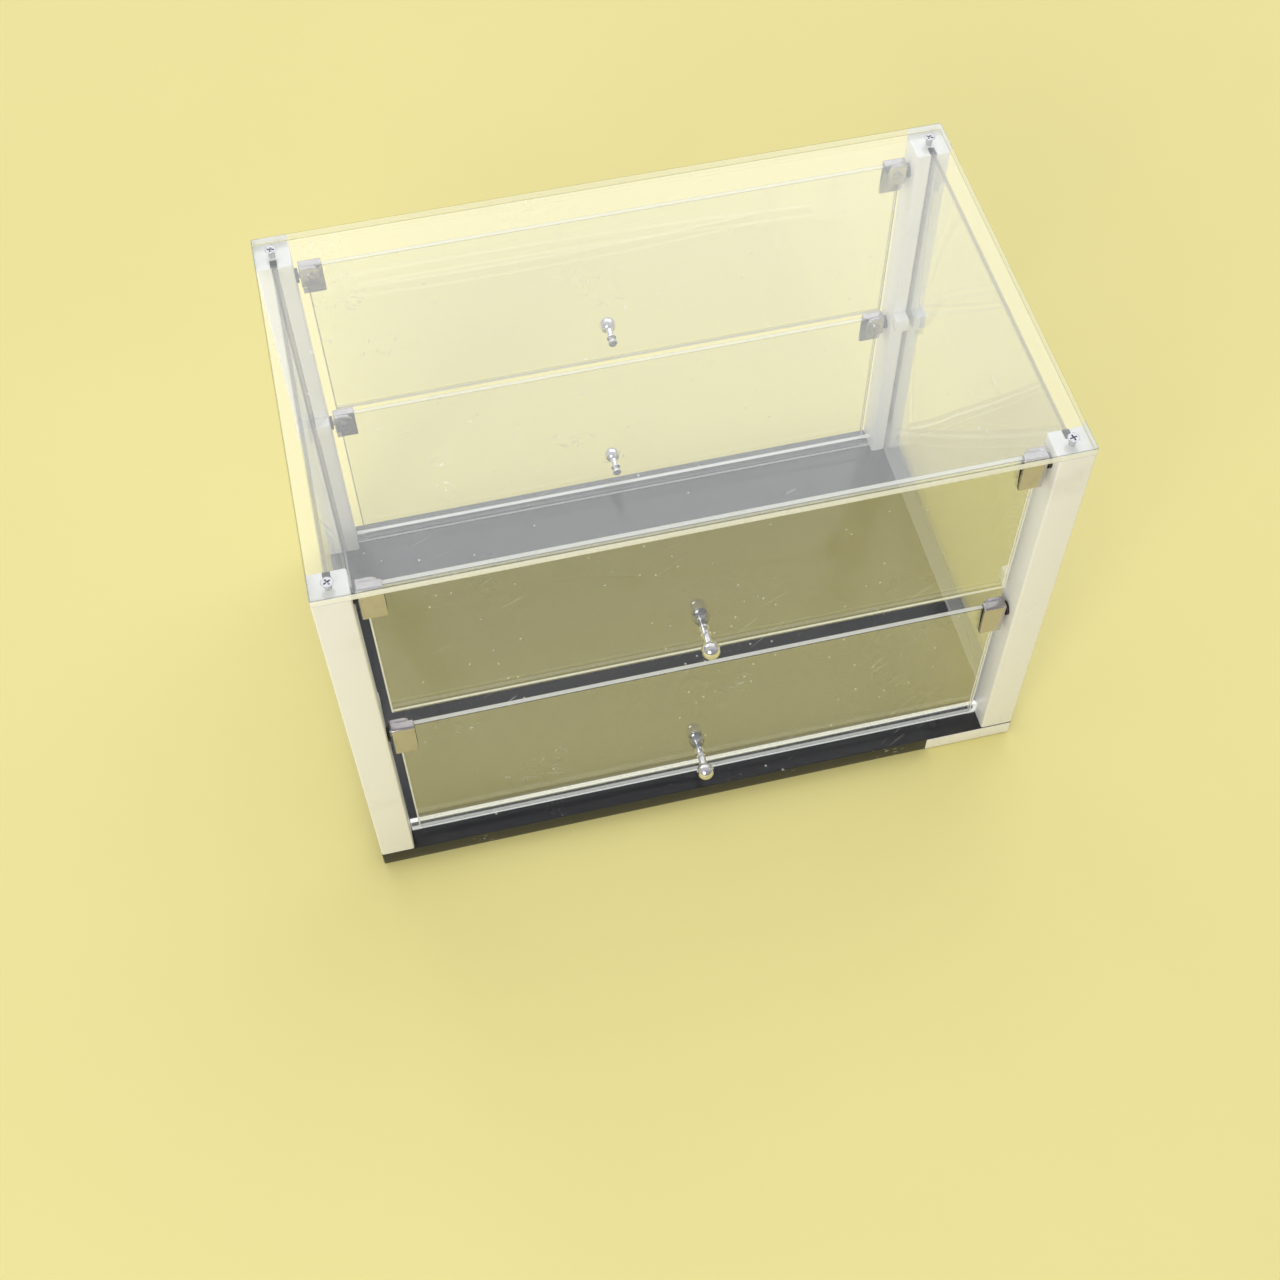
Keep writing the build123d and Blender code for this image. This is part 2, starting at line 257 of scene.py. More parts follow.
# %% Rims
def rim_finish(node, axis, outer_share, inner_share, seen_width=0.44, glow=0.0,
               shaded_top_line=False, white_corners=False, shaded_inner_rim=False):
    """How much of a rim shows from outside, and how much through the sheet, where seen_width is the part
    of its thickness that shows. glow is light of its own. shaded_top_line is painted shade: a thin grey
    line along the top of a side panel, where it meets the plate. white_corners is the plate's rim above the
    white posts, and shaded_inner_rim is painted shade that greys a rim where it is seen through its sheet."""
    low, high = node_box(node)
    thickness, middle = float(high[axis] - low[axis]), float(low[axis] + high[axis]) / 2
    f = Finish(f"{node} rim")
    place = f.along()
    across = abs(place[axis] - middle)
    band = seen_width * thickness / 2
    streaks = f.noise(900, 3)
    tint_and_shade = f.mix(f.noise(35, 2).step(0.35, 0.7), (0.94, 0.95, 0.92, 1), (0.98, 0.98, 0.96, 1))
    behind = f.out("NewGeometry", {}, {}, "Backfacing")
    # painted shade: the rim is greyed where it is seen through its sheet
    if shaded_inner_rim:
        tint_and_shade = f.mix(behind, tint_and_shade, (0.42, 0.38, 0.33, 1))
    through = inner_share * behind * across.step(band + 0.1 * mm, band - 0.1 * mm)
    shown = (outer_share * (1 - behind) + through) * (0.85 + 0.3 * streaks)
    # painted shade: a thin dark line along the top of a side panel, where it meets the plate
    if shaded_top_line:
        top_height = float(high[2])
        top = place[2].step(top_height - 2 * mm, top_height - 1 * mm)
        tint_and_shade = f.mix(top, tint_and_shade, (0.17, 0.155, 0.13, 1))
        shown = shown * (1 - top) + 0.62 * top * across.step(1.1 * mm, 0.9 * mm)
    if white_corners:
        post_x, post_y = (float(v) for v in node_box("post_back_right")[0][:2])
        corner = (abs(place[0]).step(post_x - 0.3 * mm, post_x + 0.3 * mm)
                  * abs(place[1]).step(post_y - 0.3 * mm, post_y + 0.3 * mm))
        shown = shown + (0.93 - shown) * corner
    surface = f.plastic({
        "Base Color": tint_and_shade,
        "Roughness": 0.14 + 0.2 * streaks,
        "Normal": f.bump(streaks, 0.08 * mm),
        "Emission Color": (0.97, 0.975, 0.95, 1),
        "Emission Strength": glow,
    })
    lit_from_behind = f.out("BsdfTranslucent", {}, {"Color": (0.98, 0.99, 0.96, 1)})
    pale = f.layered(behind * (0.1 if shaded_top_line else 0.25), surface, lit_from_behind)
    return f.finish(f.layered(shown, f.see_through((0.97, 0.98, 0.96, 1)), pale))


# %% [markdown]
# ## Clear sheets: arrises and bores
# The maker takes the sharp edges off a sheet with a scraper. The narrow slope between face and rim mirrors
# the dark inside of the sheet and draws a fine dark line beside the bright rim, which is what makes clear
# sheet look thick. Drilled holes stay frosted by the marks of the drill.

# %% Arrises and bores
def arris_finish(name, share, bright_beyond=None):
    """The slope covers by share. Further from the middle of the case than bright_beyond, along a door's
    upright edges, it is left as sawn, and white."""
    f = Finish(name)
    grain = f.noise(700, 2)
    colour = f.mix(grain, (0.05, 0.052, 0.048, 1), (0.14, 0.145, 0.13, 1))
    shown = share + 0.3 * (grain - 0.5)
    if bright_beyond:
        upright = abs(f.along()[0]).step(bright_beyond - 0.2 * mm, bright_beyond)
        colour = f.mix(upright, colour, (0.93, 0.93, 0.90, 1))
        shown = shown + (0.88 - shown) * upright
    rough = f.plastic({"Base Color": colour, "Roughness": 0.1 + 0.15 * grain})
    return f.finish(f.layered(shown, f.see_through((0.9, 0.92, 0.9, 1)), rough))


def bore_finish(name):
    """A drilled wall: frosted rings that hide most of the shaft behind them."""
    f = Finish(name)
    rings = f.noise(1500, 2, f.stretched((0.2, 0.2, 1)))
    frosted = f.plastic({"Base Color": f.mix(rings, (0.62, 0.62, 0.6, 1), (0.9, 0.9, 0.88, 1)),
                         "Roughness": 0.45 + 0.2 * rings})
    return f.finish(f.layered(0.35 + 0.5 * rings, f.see_through((0.95, 0.96, 0.95, 1)), frosted))


door_edge = float(node_box("door_front_lower")[1][0])
door_arris = arris_finish("door arris", share=0.55, bright_beyond=door_edge - 1 * mm)
back_door_arris = arris_finish("back door arris", share=0.4)
panel_arris = arris_finish("side panel arris", share=0.2)
plate_arris = arris_finish("top plate arris", share=0.25)
drilled = bore_finish("drilled wall")

# %% [markdown]
# ## Black acrylic
# The base board is cast black sheet: deep and glossy, but used. One colour would look like paint, so the
# gloss changes in soft clouds, and hairline scratches, dust and a few white grains lie on it. The grains
# are a flat pattern, which would draw streaks down the board's edge, so they are kept to its top.

# %% Black acrylic
board_top = float(node_box("base_board")[1][2])


def black_board():
    f = Finish("black acrylic")
    haze = f.noise(9, 4).step(0.4, 0.7)
    scratches = f.hairs(640, (0, 0, 0.35)) + f.hairs(520, (0, 0, 0.5), 0.7)
    dust = f.specks(700, 0.13) * f.noise(30, 3).step(0.5, 0.66)
    on_top = f.along()[2].step(board_top - 0.8 * mm, board_top - 0.4 * mm)
    grains = f.specks(62, 0.052, "2D") * f.noise(23, 2).step(0.56, 0.6) * on_top
    marks = scratches * f.noise(19, 2).step(0.6, 0.67) * 0.4 + dust * 0.6 + grains
    waves = f.noise(4, 0) * 0.25
    return f.finish(f.plastic({
        "Base Color": f.mix(marks * 0.75, (0.016, 0.016, 0.02, 1), (0.72, 0.7, 0.63, 1)),
        "Roughness": 0.12 + 0.16 * haze + 0.35 * marks,
        "Normal": f.bump(waves + haze * 0.05 + marks * 0.03, 0.2 * mm, 0.25),
        "IOR": 1.55,
    }))


black_acrylic = black_board()

# %% [markdown]
# ## White plastic
# Posts and shelf rests are satin white plastic. It has a very fine skin that softens its gloss, faint grime
# where hands have been, scuffs up and down and a few dark dots.

# %% White plastic
def white_posts():
    f = Finish("white plastic")
    skin = f.noise(1400, 2)
    grime = f.noise(22, 4).step(0.55, 0.78)
    lines = f.hairs(620, (0.1, 1.45, 0)) + f.hairs(700, (0.1, 1.2, 0.3))
    scuffs = lines * f.noise(40, 2).step(0.56, 0.62)
    dots = f.specks(55, 0.03) * f.noise(12, 1).step(0.5, 0.56)
    worn = f.mix(grime * 0.3 + scuffs * 0.2, (0.90, 0.895, 0.875, 1), (0.64, 0.61, 0.54, 1))
    return f.finish(f.plastic({
        "Base Color": f.mix(dots * 0.85, worn, (0.12, 0.11, 0.1, 1)),
        "Roughness": 0.34 + 0.12 * grime + 0.1 * skin,
        "Normal": f.bump(skin, 0.03 * mm),
    }))


white_plastic = white_posts()

# %% [markdown]
# ## Metals
# The knobs are polished chrome, the clips brushed chrome whose tops carry painted shade, and the screws
# plated steel of three ages. All are one recipe with other numbers: fine lines along x, worn patches, and
# painted shade that makes the faces which look up darker.

# %% Chrome and steel
def metal(name, colour, roughness, wear, brushed=0.3, metallic=1.0, top_shade=0.0):
    """wear darkens and dulls the worn patches, brushed sets how deep the fine lines are, and top_shade how
    much painted shade darkens the faces that look up."""
    f = Finish(name)
    upwards = f.out("SeparateXYZ", {}, {0: f.out("TexCoord", {}, {}, "Normal")}, 2)
    # painted shade: the faces that look up are made darker
    shade_on_top = top_shade * upwards.step(0.75, 0.95)
    worn = f.noise(160, 4).step(0.5, 0.75)
    lines = f.noise(1300, 3, f.stretched((0.04, 1, 1), (0.0, 0.1, 0.15)))
    # the dull colour serves the worn patches, the brushed lines and the painted shade on top
    dull_and_shaded = tuple(c * 0.6 for c in colour)
    darker = worn * wear + lines.step(0.42, 0.7) * brushed * 0.3 + shade_on_top
    return f.finish(f.plastic({
        "Base Color": f.mix(darker, (*colour, 1), (*dull_and_shaded, 1)),
        "Metallic": metallic,
        "Roughness": roughness + 0.12 * worn * wear + 0.15 * brushed * lines,
        "Normal": f.bump(f.noise(300, 1) * 0.3 + lines * brushed, 0.06 * mm, 0.6),
    }))


bright_chrome = metal("bright chrome", (0.80, 0.79, 0.82), roughness=0.05, wear=0.3, brushed=0.05)
brushed_chrome = metal("brushed chrome", (0.56, 0.53, 0.545), roughness=0.17, wear=0.3, brushed=0.6,
                       metallic=0.88, top_shade=0.9)
plated_steel = metal("plated steel", (0.50, 0.50, 0.52), roughness=0.2, wear=1.0)
worn_steel = metal("worn steel", (0.50, 0.50, 0.53), roughness=0.26, wear=1.0)
pale_steel = metal("pale steel", (0.74, 0.73, 0.78), roughness=0.16, wear=0.5)

# %% [markdown]
# ## Rubber and label paper
# The washers are dark rubber that has gone a little chalky. The label is pale paper with fibres along its
# length and a few stains, and it is blank.

# %% Rubber and paper
def rubber():
    f = Finish("dark rubber")
    grain = f.noise(1600, 3)
    chalky = f.noise(200, 3).step(0.5, 0.8)
    return f.finish(f.plastic({
        "Base Color": f.mix(chalky, (0.028, 0.027, 0.026, 1), (0.07, 0.067, 0.06, 1)),
        "Roughness": 0.55 + 0.25 * grain,
        "Normal": f.bump(grain, 0.04 * mm),
    }))


def label_paper():
    f = Finish("blank label")
    fibre = f.noise(900, 4, f.stretched((0.35, 1, 1)))
    stain = f.noise(45, 4).step(0.45, 0.7)
    return f.finish(f.plastic({
        "Base Color": f.mix(stain * 0.6 + fibre * 0.25, (0.93, 0.915, 0.84, 1), (0.78, 0.74, 0.62, 1)),
        "Roughness": 0.45 + 0.2 * fibre,
        "Normal": f.bump(fibre, 0.05 * mm),
    }))


dark_rubber = rubber()
blank_label = label_paper()

# %% [markdown]
# ## Outlines
# Every flat outline here is a polygon whose corners are rounded. A Bevel modifier could round them later,
# but a curve through known points keeps the outline's size exact, and the same few points make a post's
# section, a clip's hood or a plain rectangle.

# %% Outlines
def rounded_polygon(points, radii, steps=5):
    """Each corner P becomes the curve from S to E, one radius along its two sides:
    ((1-t)^2 S + 2t(1-t) w P + t^2 E) / ((1-t)^2 + 2t(1-t) w + t^2), with w the cosine of 45 degrees,
    which makes a quarter circle of a square corner."""
    corner = np.array(points, float)
    reach = np.broadcast_to(np.array(radii, float), len(corner))[:, None]
    before, after = np.roll(corner, 1, axis=0) - corner, np.roll(corner, -1, axis=0) - corner
    start = corner + reach * before / np.linalg.norm(before, axis=1, keepdims=True)
    end = corner + reach * after / np.linalg.norm(after, axis=1, keepdims=True)
    t = np.linspace(0, 1, steps + 1)[None, :, None]
    w = math.sqrt(0.5)
    curve = (1 - t) ** 2 * start[:, None] + 2 * t * (1 - t) * w * corner[:, None] + t ** 2 * end[:, None]
    return (curve / ((1 - t) ** 2 + 2 * t * (1 - t) * w + t ** 2)).reshape(-1, 2)


def rectangle(low_u, low_v, high_u, high_v, radii):
    """A rectangle's rounded outline; radii start at the lower left corner and go round to the right."""
    return rounded_polygon([(low_u, low_v), (high_u, low_v), (high_u, high_v), (low_u, high_v)], radii)


def unit_circle(points):
    """The points (cos a, sin a), evenly spaced."""
    around = np.linspace(0, 2 * math.pi, points, endpoint=False)
    return np.stack([np.cos(around), np.sin(around)], -1)


# %% [markdown]
# ## Rings
# A solid is built from rings of points, one above the other, and the quads between them. All rings of a
# solid are one array, so their points are worked out together.

# %% Rings
def ring_faces(rows, points, first=0):
    """Quads between neighbouring rings: point k of ring i, its neighbour, and both on ring i + 1."""
    i = np.arange(rows - 1)[:, None] * points + np.arange(points)[None, :]
    j = np.arange(rows - 1)[:, None] * points + (np.arange(points)[None, :] + 1) % points
    return (np.stack([i, j, j + points, i + points], -1).reshape(-1, 4) + first).tolist()


def in_space(flat, height, axis):
    """Puts outline points (u, v) and a height on the three axes: the height goes along axis."""
    u, v, w = flat[..., 0], flat[..., 1], np.broadcast_to(height, flat[..., 0].shape)
    return np.stack({0: (w, u, v), 1: (u, w, v), 2: (u, v, w)}[axis], -1)


def pulled_in(outline, distance, spread):
    """Moves each point inwards along (n1 + n2) / (1 + n1.n2), n1 and n2 being its two sides' normals, and
    spread times as far along each of the outline's two axes."""
    side = np.roll(outline, -1, axis=0) - outline
    side = side / np.linalg.norm(side, axis=1, keepdims=True)
    n2 = np.stack([-side[:, 1], side[:, 0]], -1)
    n1 = np.roll(n2, 1, axis=0)
    turn = 1 + (n1 * n2).sum(1, keepdims=True)
    return outline + distance * np.array(spread) * (n1 + n2) / np.maximum(turn, 0.3)


# %% [markdown]
# ## Bars with soft ends
# Nearly every piece of the case is a bar: a flat outline pushed through space. A real cut edge always has a
# small arris that catches light, so the outline is drawn in a little at both ends, along a quarter circle.
# Holes run through the bar as rings of their own, and the ends are filled round them with triangles.

# %% Bars
hole_points = 48


def bar(outline, axis, low, high, arris=0.3 * mm, steps=3, holes=(), marks_of=(0, 0, 0, 0), spread=(1, 1)):
    """A closed bar. At angle t of a quarter circle, the outline is pulled in by arris (1 - sin t) at the
    height arris (1 - cos t) from the end. Each hole is a centre and its (radius, height) pairs from low to
    high. marks_of gives the finish numbers of the two ends, the side, the arris and the holes' walls, and
    spread is the one of pulled_in."""
    end_mark, side_mark, arris_mark, hole_mark = marks_of
    ahead = np.roll(outline, -1, axis=0)
    if (outline[:, 0] * ahead[:, 1] - ahead[:, 0] * outline[:, 1]).sum() < 0:
        outline = outline[::-1]
    t = np.linspace(0, math.pi / 2, steps + 1)
    inset = arris * (1 - np.sin(t))
    rise = arris * (1 - np.cos(t))
    insets = np.concatenate([inset, inset[::-1]])
    heights = np.concatenate([low + rise, (high - rise)[::-1]])
    rows = np.stack([in_space(pulled_in(outline, d, spread), h, axis) for d, h in zip(insets, heights)])
    count = len(outline)
    vertices = [rows.reshape(-1, 3)]
    faces = ring_faces(len(rows), count)
    low_loops, high_loops = [np.arange(count)], [np.arange(count) + (len(rows) - 1) * count]
    total = len(rows) * count
    circle = unit_circle(hole_points)
    for centre, profile in holes:
        hole = np.stack([in_space(np.array(centre) + r * circle, h, axis) for r, h in profile])
        faces += ring_faces(len(hole), hole_points, total)
        low_loops.append(np.arange(hole_points) + total)
        high_loops.append(np.arange(hole_points) + total + (len(hole) - 1) * hole_points)
        vertices.append(hole.reshape(-1, 3))
        total += len(hole) * hole_points
    vertices = np.concatenate(vertices)
    slopes = [arris_mark] * (steps * count)
    marks = slopes + [side_mark] * count + slopes + [hole_mark] * (len(faces) - (len(rows) - 1) * count)
    for loops in (low_loops, high_loops):
        if holes:
            index = np.concatenate(loops)
            cap = tessellate_polygon([[Vector(vertices[k]) for k in loop] for loop in loops])
            cap = [[int(index[k]) for k in triangle] for triangle in cap]
        else:
            cap = [loops[0].tolist()]
        faces += cap
        marks += [end_mark] * len(cap)
    return vertices, faces, marks


# %% [markdown]
# ## Turned shells
# Knobs and washers are turned on a lathe, and here too: a profile of radii and heights goes round an axis.
# Where the profile starts and ends near the axis, the two end rings are capped. A washer's profile goes
# round its section instead, so its last ring is joined to its first.

# %% Turned shells
def shell_of_rings(rows, closed=False):
    """A closed shell from rings of points (ring, point, xyz): the end rings are capped, or joined."""
    if closed:
        rows = np.concatenate([rows, rows[:1]])
    count, points = rows.shape[:2]
    faces = ring_faces(count, points)
    if not closed:
        faces += [list(range(points)), list(range((count - 1) * points, count * points))]
    return rows.reshape(-1, 3), faces, [0] * len(faces)


def lathe(profile, centre, axis, direction, closed=False):
    """Turns (radius, height) pairs in millimetres round the line through centre along axis."""
    profile = np.array(profile, float) * mm
    flat = profile[:, None, :1] * unit_circle(48)[None]
    rows = in_space(flat, profile[:, 1][:, None] * direction, axis)
    return shell_of_rings(rows + np.array(centre), closed)


# %% [markdown]
# ## From shells to a piece
# A piece can hold several shells, such as the two halves of a shelf rest. They become one mesh whose faces
# all look outwards, shaded smooth except at sharp edges.

# %% Pieces
def make_piece(name, shells, finishes, body, node, smooth_angle=32):
    vertices, faces, marks, total = [], [], [], 0
    for shell_vertices, shell_faces, shell_marks in shells:
        vertices.append(shell_vertices)
        faces += [[k + total for k in face] for face in shell_faces]
        marks += shell_marks
        total += len(shell_vertices)
    mesh = bpy.data.meshes.new(name)
    mesh.from_pydata(np.concatenate(vertices).tolist(), [], faces)
    for material in finishes:
        mesh.materials.append(material)
    mesh.polygons.foreach_set("material_index", marks)
    shape = bmesh.new()
    shape.from_mesh(mesh)
    bmesh.ops.remove_doubles(shape, verts=shape.verts, dist=1e-7)
    bmesh.ops.recalc_face_normals(shape, faces=shape.faces)
    shape.to_mesh(mesh)
    shape.free()
    mesh.polygons.foreach_set("use_smooth", [True] * len(mesh.polygons))
    mesh.set_sharp_from_angle(angle=math.radians(smooth_angle))
    piece = bpy.data.objects.new(name, mesh)
    bpy.context.scene.collection.objects.link(piece)
    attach(piece, body)
    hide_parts(node)
    print(f"{name}: {len(mesh.polygons)} faces on {body}")


# %% [markdown]
# ## Base board and label
# The board is a 12 mm slab with polished, barely rounded corners. The label at its right end is a thin
# blank sticker whose own corners are rounded too. A cube with a Bevel modifier would do for either, but a
# bar can round its upright corners more than its arrises.

# %% Base board and label
low, high = node_box("base_board")
board_outline = rectangle(low[0], low[1], high[0], high[1], 1.0 * mm)
make_piece("black_board", [bar(board_outline, 2, low[2], high[2], arris=0.45 * mm)], [black_acrylic],
           "case", "base_board")

low, high = node_box("label_plate")
label_outline = rectangle(low[0], low[2], high[0], high[2], 0.8 * mm)
make_piece("bare_label", [bar(label_outline, 1, low[1], high[1], arris=0.08 * mm)], [blank_label],
           "case", "label_plate")

# %% [markdown]
# ## Posts
# A post's section is a rounded square with a groove in the face that looks along the case; the side panel
# stands in it. A Boolean could cut the groove, but as a part of the outline it keeps clean faces. One
# function draws the section for a front or a back post, and `bar` pushes it up from the base. The post ends
# a hair below the clear plate, so that the two faces don't flicker.

# %% Section of a post
post_corner = 1.2 * mm
groove_half = 1.6 * mm
groove_depth = 6.0 * mm
groove_lip, groove_root = 0.25 * mm, 0.1 * mm


def inner_end(low, high, side_dir):
    """The y of a piece's end that looks into the case."""
    return high[1] if side_dir < 0 else low[1]


def post_outline(low, high, side_dir):
    """A rounded square with a notch from the face that looks into the case."""
    middle = (low[0] + high[0]) / 2
    inner, outer = inner_end(low, high, side_dir), inner_end(low, high, -side_dir)
    floor_of_notch = inner + side_dir * groove_depth
    points = [(low[0], outer), (high[0], outer), (high[0], inner), (middle + groove_half, inner),
              (middle + groove_half, floor_of_notch), (middle - groove_half, floor_of_notch),
              (middle - groove_half, inner), (low[0], inner)]
    radii = [post_corner, post_corner, post_corner, groove_lip, groove_root, groove_root, groove_lip,
             post_corner]
    return rounded_polygon(points, radii)


print("outline of a post:", len(post_outline(*node_box("post_front_left"), sides["front"])), "points")

# %% [markdown]
# ## Shelf rests
# Half way up, each post carries a small block for a shelf. The side panel cuts it in two, so the piece is
# made as two shells, and the corner of each that stands free in the case is rounder than the others. Each
# corner of the case gets its post and its rest here.

# %% Posts and shelf rests
rest_corner, rest_free_corner = 0.2 * mm, 0.8 * mm


def rest_shells(low, high, side_dir):
    middle = (low[0] + high[0]) / 2
    left, right = [rest_corner] * 4, [rest_corner] * 4
    if side_dir < 0:
        left[3] = right[2] = rest_free_corner
    else:
        left[0] = right[1] = rest_free_corner
    halves = [(low[0], middle - groove_half, left), (middle + groove_half, high[0], right)]
    return [bar(rectangle(a, low[1], b, high[1], radii), 2, low[2], high[2], arris=0.35 * mm)
            for a, b, radii in halves]


for side, side_dir in sides.items():
    for hand in hands:
        node = f"post_{side}_{hand}"
        low, high = node_box(node)
        post = bar(post_outline(low, high, side_dir), 2, low[2], high[2] - hair, arris=0.4 * mm)
        make_piece(f"white_{node}", [post], [white_plastic], "case", node)
        node = f"shelf_rest_{side}_{hand}"
        low, high = node_box(node)
        make_piece(f"white_{node}", rest_shells(low, high, side_dir), [white_plastic],
                   "case", node)

# %% [markdown]
# ## Sheets of the case
# Top plate, side panels, stop strips and doors could be planes with a Solidify modifier, but their arrises
# need a finish of their own. So they are bars whose ends are their wide faces: the ends take the clear
# finish, the side takes the bright rim, and the arrises their dark line. The top plate has four
# countersunk holes over the middles of the posts.

# %% Top plate and side panels
def sheet(node, axis, body, corner, arris, rim, slope, holes=(), spread=(1, 1), face=clear_face):
    """A clear sheet whose thickness lies along axis; it stands a hair above what carries it."""
    low, high = node_box(node)
    low[2] += hair
    u, v = {0: (1, 2), 1: (0, 2), 2: (0, 1)}[axis]
    outline = rectangle(low[u], low[v], high[u], high[v], corner)
    shell = bar(outline, axis, low[axis], high[axis], arris, 2, holes, (0, 1, 2, 3), spread)
    make_piece(f"clear_{node}", [shell], [face, rim, slope, drilled], body, node)


low, high = node_box("top_plate")
screw_bore, sink_radius, sink_depth = 1.85 * mm, 3.3 * mm, 1.45 * mm
sink = [(screw_bore, low[2] + hair), (screw_bore, high[2] - sink_depth), (sink_radius, high[2])]
post_middle = sum(node_box("post_back_right")) / 2
screw_places = [(x * post_middle[0], y * post_middle[1]) for x in (-1, 1) for y in (-1, 1)]
plate_rim = rim_finish("top_plate", 2, outer_share=0.8, inner_share=0.2, white_corners=True)
sheet("top_plate", 2, "case", corner=1.0 * mm, arris=0.4 * mm, rim=plate_rim, slope=plate_arris,
      holes=[(place, sink) for place in screw_places])
for hand in hands:
    node = f"side_panel_{hand}"
    # each side panel's rim gets a painted shade line along its top
    panel_rim = rim_finish(node, 0, outer_share=0.8, inner_share=0.9, shaded_top_line=True)
    sheet(node, 0, "case", corner=0.3 * mm, arris=0.25 * mm, rim=panel_rim, slope=panel_arris,
          face=side_panel_face)

# %% [markdown]
# ## Stop strips and doors
# A strip on the base keeps each lower door from swinging inwards. The front one is the brightest line of
# the photograph, so its rims give off light of their own. A door has one plain hole for its knob's screw.
# The slopes along its upright edges are wider than the others, and show as white lines.

# %% Stop strips and doors
door_looks = {"front": {"face": front_door_face, "arris": door_arris, "rim_share": 0.6},
              "back": {"face": back_door_face, "arris": back_door_arris, "rim_share": 0.42}}
strip_rims = {"front": {"outer_share": 0.95, "inner_share": 0.95, "seen_width": 0.8, "glow": 0.5},
              "back": {"outer_share": 0.7, "inner_share": 0.8}}
upright_spread = (2.6, 1)
knob_bore = 1.7 * mm


def door(side, level):
    node = f"door_{side}_{level}"
    looks = door_looks[side]
    low, high = node_box(node)
    knob_low, knob_high = node_box(f"knob_{side}_{level}")
    hole = ((0.0, (knob_low[2] + knob_high[2]) / 2), [(knob_bore, low[1]), (knob_bore, high[1])])
    # the back upper door's rim gets painted shade where it is seen through its sheet
    rim = rim_finish(node, 1, outer_share=looks["rim_share"], inner_share=0.98,
                     shaded_inner_rim=node == "door_back_upper")
    sheet(node, 1, f"{side}_{level}_door", corner=1.0 * mm, arris=0.3 * mm, rim=rim,
          slope=looks["arris"], holes=[hole], spread=upright_spread, face=looks["face"])


for side in sides:
    strip_rim = rim_finish(f"stop_strip_{side}", 1, **strip_rims[side])
    sheet(f"stop_strip_{side}", 1, "case", corner=0.3 * mm, arris=0.25 * mm, rim=strip_rim,
          slope=door_arris)
    for level in levels:
        door(side, level)

# %% [markdown]
# ## Hinge clips
# Each clip is a chrome hood over a door's upper corner, bent from one strip of metal. Its section, seen
# from the side of the case, is an outer cheek with a cap on top; a side wall closes it towards the post,
# and a shorter inner cheek with two round corners holds the clamp screw. A bent sheet with a wall
# thickness would need mitred corners, so the three are bars with softly rounded ends that meet inside.

# %% Clips
cheek_inner = 1.5 * mm + hair        # from the door's middle to the inside of either cheek
cap_thickness = 1.2 * mm
hood_width, wall_width, cheek_width = 13 * mm, 2.9 * mm, 11 * mm        # along x, from the post
cheek_height, wall_foot = 13.5 * mm, 15.5 * mm        # down from the top, at the inner cheek
free_corner, fixed_corner = 3.5 * mm, 0.5 * mm        # of the inner cheek, away from the post and at it
bend, foot_bend, edge = 1.5 * mm, 2.0 * mm, 0.3 * mm


def hinge_clip(side, level, hand):
    node = f"hinge_clip_{side}_{level}_{hand}"
    low, high = node_box(node)
    middle, top = (low[1] + high[1]) / 2, high[2]
    half, height = (high[1] - low[1]) / 2, high[2] - low[2]
    post_edge, inwards = (low[0], 1) if hand == "left" else (high[0], -1)

    def section(points, radii):
        """Points (outwards from the sheet's middle, down from the clip's top) as (y, z)."""
        flat = rounded_polygon(points, radii)
        return np.stack([middle + sides[side] * flat[:, 0], top - flat[:, 1]], -1)

    def across(start, end):
        """Two distances from the post as x, the lower one first."""
        return sorted((post_edge + inwards * start, post_edge + inwards * end))

    hood = section([(cheek_inner, height), (half, height), (half, 0), (-cheek_inner, 0),
                    (-cheek_inner, cap_thickness), (cheek_inner, cap_thickness)],
                   [edge, edge, bend, edge, edge, edge])
    wall = section([(half - hair, hair), (half - hair, height - hair), (cheek_inner, height - hair),
                    (-cheek_inner, wall_foot), (hair - half, cheek_height), (hair - half, hair)],
                   [bend, edge, edge, foot_bend, edge, edge])
    x0, x1 = across(0, cheek_width)
    radii = [fixed_corner, free_corner, free_corner, fixed_corner]
    if inwards < 0:
        radii = [free_corner, fixed_corner, fixed_corner, free_corner]
    cheek = rectangle(x0, top - cheek_height, x1, top, radii)
    y0, y1 = sorted((middle - sides[side] * cheek_inner, middle - sides[side] * half))
    shells = [bar(hood, 0, *across(0, hood_width), arris=0.5 * mm, steps=4),
              bar(wall, 0, *across(hair, wall_width), arris=0.4 * mm),
              bar(cheek, 1, y0, y1, arris=0.5 * mm, steps=4)]
    make_piece(f"chrome_{node}", shells, [brushed_chrome], f"{side}_{level}_door", node)


for side in sides:
    for level in levels:
        for hand in hands:
            hinge_clip(side, level, hand)

# %% [markdown]
# ## Knobs
# A knob is one turned part: a small seat, a slightly waisted stem and a ball. A sphere set on a cylinder
# would show a seam, so the ball is a run of angles from where the stem enters it to its pole, and the whole
# profile is turned at once.

# %% Profile of a knob
ball_radius, ball_height, neck_radius = 5.25, 11.4, 2.35


def knob_profile():
    """Seat and stem as (radius, height), then the ball: R cos a, H + R sin a from the neck to the pole."""
    start = -math.acos(neck_radius / ball_radius)
    angles = np.linspace(start, math.radians(89), 22)
    ball = np.stack([ball_radius * np.cos(angles), ball_height + ball_radius * np.sin(angles)], -1)
    stem = [(0.1, 0.05), (2.85, 0.05), (3.0, 0.2), (3.0, 0.75), (2.8, 0.95), (2.5, 1.05), (2.4, 1.4),
            (2.3, 3.0), (2.3, 5.0), (neck_radius, 6.3)]
    return np.concatenate([stem, ball])


print("profile of a knob:", len(knob_profile()), "points")

# %% [markdown]
# ## Washers
# A dark washer keeps each clip off its post. It is turned too, round the hole in its middle, so no hole has
# to be cut. The two of a door are one node, so they are one piece with two shells, at the two ends of the
# node's box. Each door gets its knob and its washers here.

